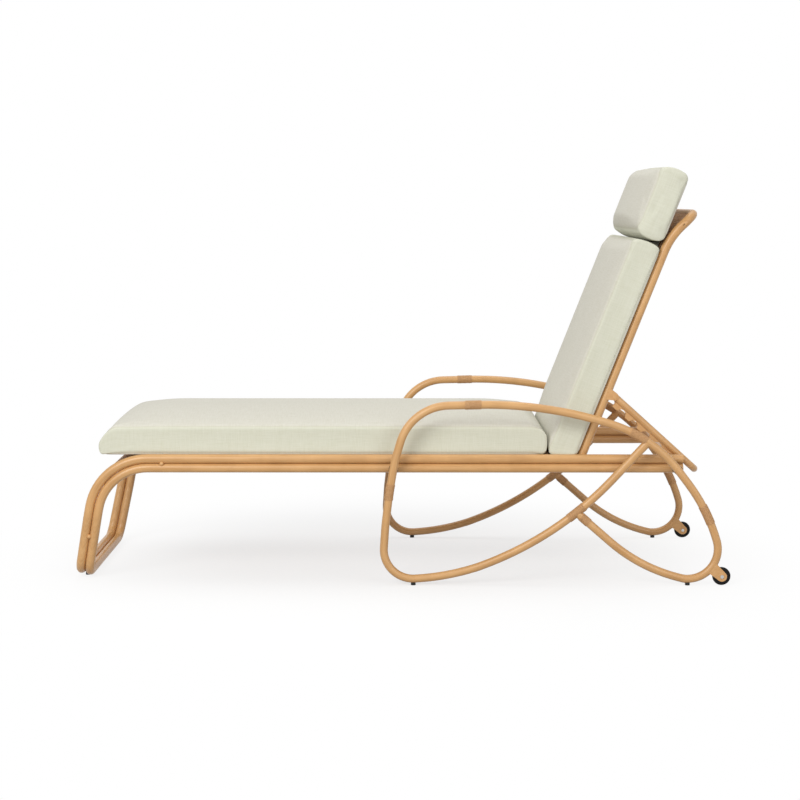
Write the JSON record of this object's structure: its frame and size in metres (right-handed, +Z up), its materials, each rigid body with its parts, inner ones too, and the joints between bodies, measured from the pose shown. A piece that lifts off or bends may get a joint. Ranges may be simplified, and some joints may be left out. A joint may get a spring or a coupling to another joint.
{
  "type": "adjustable chaise lounge",
  "caption": "Chaise lounge with bent tube frame, hoop arms, cushions, a back rest that reclines on a notched prop, and wheels at the rear.",
  "frame": {"origin": "on the floor under the middle of the bounding box", "axes": "+X to the rear (back rest and wheels), +Y to the sitter's right, +Z up"},
  "size_m": [1.7964, 0.7062, 1.1236],
  "materials": {
    "cane_tube": "satin paint with a streaky cane pattern",
    "binding": "wound strip, matte",
    "black_plastic": "matte",
    "steel": "plain",
    "washer": "matte",
    "weave": "woven strips",
    "cushion_fabric": "fine plain weave",
    "tyre": "matte"
  },
  "bodies": {
    "frame": {"upper_rail_loop": "cane_tube", "lower_rail_loop": "cane_tube", "weld_beads": "cane_tube", "rail_end_caps": "black_plastic", "notch_bar": "cane_tube", "seat_stretcher_1": "cane_tube", "seat_stretcher_2": "cane_tube", "seat_stretcher_3": "cane_tube", "seat_stretcher_4": "cane_tube", "front_bend_bar": "cane_tube", "seat_deck": "weave", "left_arm_tube": "cane_tube", "right_arm_tube": "cane_tube", "left_brace_tube": "cane_tube", "right_brace_tube": "cane_tube", "left_bindings": "binding", "right_bindings": "binding", "hoop_spacers": "black_plastic", "hoop_bolts": "steel", "hoop_glides": "black_plastic", "front_glides": "black_plastic", "left_wheel_fork": "cane_tube", "right_wheel_fork": "cane_tube", "left_axle_bolt": "steel", "right_axle_bolt": "steel", "left_axle_nut": "steel", "right_axle_nut": "steel", "hinge_bolts": "steel", "hinge_washers": "washer", "seat_cushion": "cushion_fabric"},
    "back_rest": {"back_frame_tube": "cane_tube", "back_bar_lower": "cane_tube", "back_bar_middle": "cane_tube", "back_bar_upper": "cane_tube", "back_end_plugs": "black_plastic", "back_deck": "weave", "prop_lugs": "cane_tube", "prop_pins": "steel", "back_cushion": "cushion_fabric", "headrest_cushion": "cushion_fabric", "headrest_strip": "cushion_fabric"},
    "prop": {"prop_tube": "cane_tube", "prop_eyes": "cane_tube", "left_notch_plate": "cane_tube", "right_notch_plate": "cane_tube"},
    "left_wheel": {"left_tyre": "tyre", "left_wheel_hub": "black_plastic"},
    "right_wheel": {"right_tyre": "tyre", "right_wheel_hub": "black_plastic"}
  },
  "joints": [
    {"name": "back_recline", "type": "hinge", "parent": "frame", "child": "back_rest", "pos_m": [0.495, 0, 0.3396], "axis": [0, 1, 0], "range_deg": [0, 57.5]},
    {"name": "prop_swing", "type": "hinge", "parent": "back_rest", "child": "prop", "pos_m": [0.58498, 0, 0.50845], "axis": [0, -1, 0], "range_deg": [0, 110.75]},
    {"name": "left_wheel_spin", "type": "hinge", "parent": "frame", "child": "left_wheel", "pos_m": [0.87372, -0.34, 0.02504], "axis": [0, 1, 0], "continuous": true},
    {"name": "right_wheel_spin", "type": "hinge", "parent": "frame", "child": "right_wheel", "pos_m": [0.87372, 0.34, 0.02504], "axis": [0, 1, 0], "continuous": true}
  ],
  "couplings": [
    {"joint": "prop_swing", "follows": "back_recline", "ratio": 1.9257}
  ]
}
